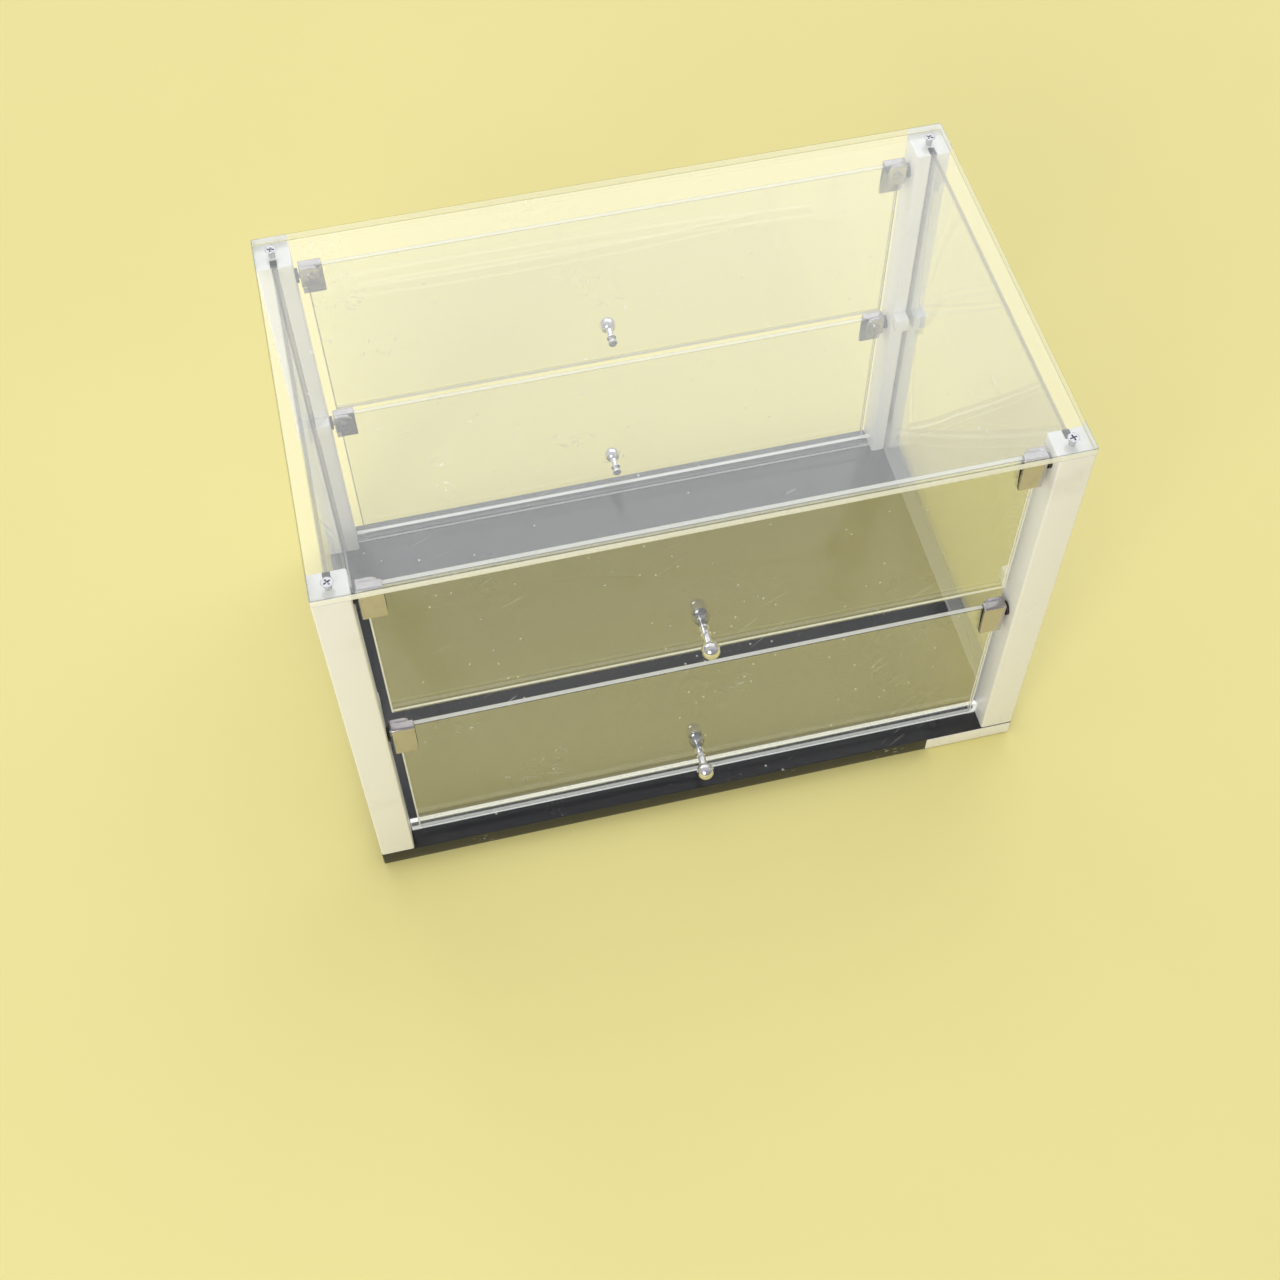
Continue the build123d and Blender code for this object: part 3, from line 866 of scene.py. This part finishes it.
# %% Knobs and washers
washer_profile = [(1.8, 0.0), (4.0, 0.0), (4.2, 0.08), (4.25, 0.25),
                  (4.25, 1.35), (4.2, 1.52), (4.0, 1.6), (1.8, 1.6)]
for side, side_dir in sides.items():
    for level in levels:
        node = f"knob_{side}_{level}"
        low, high = node_box(node)
        seat = (0.0, inner_end(low, high, side_dir), (low[2] + high[2]) / 2)
        make_piece(f"chrome_{node}", [lathe(knob_profile(), seat, 1, side_dir)], [bright_chrome],
                   f"{side}_{level}_door", node, smooth_angle=40)
        node = f"hinge_washers_{side}_{level}"
        low, high = node_box(node)
        centre_y, centre_z = (low[1] + high[1]) / 2, (low[2] + high[2]) / 2
        rings = [lathe(washer_profile, (low[0], centre_y, centre_z), 0, 1, closed=True),
                 lathe(washer_profile, (high[0], centre_y, centre_z), 0, -1, closed=True)]
        make_piece(f"rubber_{node}", rings, [dark_rubber], "case", node)

# %% [markdown]
# ## Screw shapes
# A screw head is a height field over a disc: a low dome, minus the depth of its slot or cross. Cutting the
# slot with a Boolean would leave long thin faces, while a fine net of rings and spokes follows it closely.
# The rings of the head run on into the rim, the underside and the shaft, so each screw is one closed shell.

# %% Screw shapes
def inside(distance, half_width, softness=0.08):
    """1 within half_width of a line and 0 outside, with a steep wall between."""
    return np.clip((half_width - np.abs(distance)) / softness + 0.5, 0, 1)


def slot_recess(x, y):
    """One slot along y, 0.7 mm deep."""
    return 0.7 * inside(x, 0.35)


def cross_recess(x, y):
    """Two slots, which get shallower towards their ends as a point driver leaves them."""
    reach = 1.92
    arms = np.maximum(inside(x, 0.4) * inside(y, reach), inside(y, 0.4) * inside(x, reach))
    return 1.1 * arms * (1 - 0.55 * np.clip(np.hypot(x, y) / reach, 0, 1) ** 2)


def screw(head_radius, dome, recess, under, centre, axis, direction, turn):
    """The head's face has the height dome (1 - (r / R)^2) minus the recess, which is turned by turn. Then
    come the rings of under, which are pairs of radius and height."""
    spokes = unit_circle(96)
    radii = (np.linspace(0.01, 1, 26) * head_radius)[:, None]
    x, y = radii * spokes[:, 0], radii * spokes[:, 1]
    turned_x, turned_y = x * math.cos(turn) + y * math.sin(turn), y * math.cos(turn) - x * math.sin(turn)
    face = dome * (1 - (radii / head_radius) ** 2) - recess(turned_x, turned_y)
    lower = np.array(under, float)
    flat = np.concatenate([np.stack([x, y], -1), lower[:, :1, None] * spokes])
    height = np.concatenate([face, np.broadcast_to(lower[:, 1:], (len(lower), len(spokes)))])
    return shell_of_rings(in_space(flat * mm, height * mm * direction, axis) + np.array(centre))


# %% [markdown]
# ## Screws
# Four cross screws hold the top plate, and show in full through it. Slotted clamp screws hold the clips on
# the doors, and a larger one holds each knob. They weren't all tightened to the same angle. The domes of
# the doors' screws end where their CAD nodes end, so their rims lie lower by the height of the dome.

# %% Screws
turns = (0.5, 1.3, 0.2, 0.9)
low, high = node_box("top_screws")
under = [(3.1, -0.12), (1.75, -1.4), (1.72, -16.6), (0.3, -17.8)]
heads = [screw(3.02, 0.05, cross_recess, under, (x, y, high[2]), 2, 1, turn)
         for (x, y), turn in zip(screw_places, turns)]
make_piece("steel_top_screws", heads, [worn_steel], "case", "top_screws")

clamp_under = [(2.6, -0.2), (2.6, -1.15), (1.5, -1.2), (1.5, -3.6)]
knob_under = [(2.9, -0.45), (2.9, -1.55), (2.8, -1.74), (1.5, -1.75), (1.5, -10.0)]
clamp_dome, knob_dome = 0.12, 0.2
clamp_inset = 2.6 * mm        # from the node's end to the screw's middle


def screw_seat(low, high, side_dir, dome):
    """The y and z of a screw head whose dome rises to the node's end inside the case."""
    return inner_end(low, high, side_dir) + side_dir * dome * mm, (low[2] + high[2]) / 2


for side, side_dir in sides.items():
    for level in levels:
        body = f"{side}_{level}_door"
        node = f"clamp_screws_{side}_{level}"
        low, high = node_box(node)
        x = high[0] - clamp_inset
        y, z = screw_seat(low, high, side_dir, clamp_dome)
        heads = [screw(2.45, clamp_dome, slot_recess, clamp_under, (sign * x, y, z), 1, -side_dir, turn)
                 for sign, turn in ((-1, 0.6), (1, 2.1))]
        make_piece(f"steel_{node}", heads, [plated_steel], body, node)
        node = f"knob_screw_{side}_{level}"
        y, z = screw_seat(*node_box(node), side_dir, knob_dome)
        head = screw(2.6, knob_dome, slot_recess, knob_under, (0.0, y, z), 1, -side_dir, 1.1)
        make_piece(f"steel_{node}", [head], [pale_steel], body, node)

# %% [markdown]
# ## Finishes on the CAD's own solids
# The hinge pins and the base screws keep their CAD solids, which are the right shape already. Every node
# gets the finish of its material slot, also those that a piece stands for.

# %% Finishes on CAD nodes
slot_finish = {
    "clear_acrylic": clear_face, "black_acrylic": black_acrylic, "white_plastic": white_plastic,
    "bright_chrome": bright_chrome, "plated_steel": plated_steel, "dark_rubber": dark_rubber,
    "blank_label": blank_label,
}
for part in frame["record"]["subparts"]:
    node = frame["nodes"][part["node"]]
    node.data.materials.clear()
    node.data.materials.append(slot_finish[part["material_slot"]])

# %% [markdown]
# ## Floor
# The case stands on a plain pale floor, which the clear sheets and the clips mirror. An end of the floor
# would show as a line in low views, so far out it fades into the colour of the backdrop.

# %% Floor
backdrop = (0.88, 0.82, 0.52, 1)
floor_half, floor_cells = 8.0, 8


def floor_finish():
    """A pale floor that fades into the colour of the backdrop between 1.5 and 5 m from the case."""
    f = Finish("pale floor")
    near = f.plastic({
        "Base Color": f.mix(f.noise(3, 3).step(0.3, 0.7), (0.895, 0.80, 0.32, 1), (0.91, 0.815, 0.33, 1)),
        "Roughness": 0.5 + 0.1 * f.noise(40, 2),
    })
    far = f.out("Emission", {}, {"Color": backdrop, "Strength": 1.0})
    distance = f.out("VectorMath", {"operation": "LENGTH"}, {0: f.place}, "Value")
    return f.finish(f.layered(distance.step(1.5, 5.0), near, far))


span = np.linspace(-floor_half, floor_half, floor_cells + 1)
grid_x, grid_y = np.meshgrid(span, span)
floor_points = np.stack([grid_x, grid_y, np.zeros_like(grid_x)], -1).reshape(-1, 3)
row = floor_cells + 1
corner = (np.arange(floor_cells)[:, None] * row + np.arange(floor_cells)[None, :]).reshape(-1)
floor_faces = np.stack([corner, corner + 1, corner + row + 1, corner + row], -1)
floor_mesh = bpy.data.meshes.new("floor")
floor_mesh.from_pydata(floor_points.tolist(), [], floor_faces.tolist())
floor_mesh.materials.append(floor_finish())
floor = bpy.data.objects.new("floor", floor_mesh)
bpy.context.scene.collection.objects.link(floor)
print("floor", 2 * floor_half, "m wide")

# %% [markdown]
# ## World
# An even world would leave the chrome flat, so it is brighter overhead and darker near the horizon and
# towards the front, as a room is. The camera sees the backdrop's colour wherever it looks past the floor.

# %% World
world = bpy.data.worlds.new("studio")
bpy.context.scene.world = world
world.use_nodes = True


class Sky(Finish):
    """The world's own node tree, with the same helpers."""

    def __init__(self, world):
        self.nodes, self.links = world.node_tree.nodes, world.node_tree.links
        self.nodes.clear()
        self.place = self.out("TexCoord", {}, {}, "Generated")


sky = Sky(world)
towards = sky.along()
overhead = sky.mix(towards[2].step(0.0, 0.55), (0.42, 0.415, 0.41, 1), (0.64, 0.645, 0.66, 1))
room = sky.mix(towards[1].step(0.1, -0.7) * 0.6, overhead, (0.20, 0.195, 0.19, 1))
seen = sky.out("LightPath", {}, {}, "Is Camera Ray")
background = sky.out("Background", {}, {"Color": sky.mix(seen, room, backdrop), "Strength": 1.0})
sky.node("OutputWorld", {}, {"Surface": background})
print("world with", len(sky.nodes), "nodes")

# %% [markdown]
# ## Lamps
# A large soft lamp hangs above and behind the case, where the top plate and the base mirror it towards the
# camera as in the photograph. A smaller one lights the front from the left. A picture of a room could light
# the case too, but a lamp can be put where its mirror image is wanted.

# %% Lamps
def soft_lamp(name, place, width, height, watts, aim=(0, 0, 0.1)):
    data = bpy.data.lights.new(name, "AREA")
    data.shape, data.size, data.size_y, data.energy = "RECTANGLE", width, height, watts
    lamp = bpy.data.objects.new(name, data)
    lamp.location = place
    lamp.rotation_euler = (Vector(aim) - Vector(place)).to_track_quat("-Z", "Y").to_euler()
    bpy.context.scene.collection.objects.link(lamp)
    print(name, width, "x", height, "m,", watts, "W")


soft_lamp("back_softbox", (0.5, 1.6, 2.3), 3.6, 2.4, 30)
soft_lamp("front_fill", (-1.5, -2.3, 1.7), 1.6, 1.6, 40)
bpy.context.scene.view_settings.view_transform = "Standard"
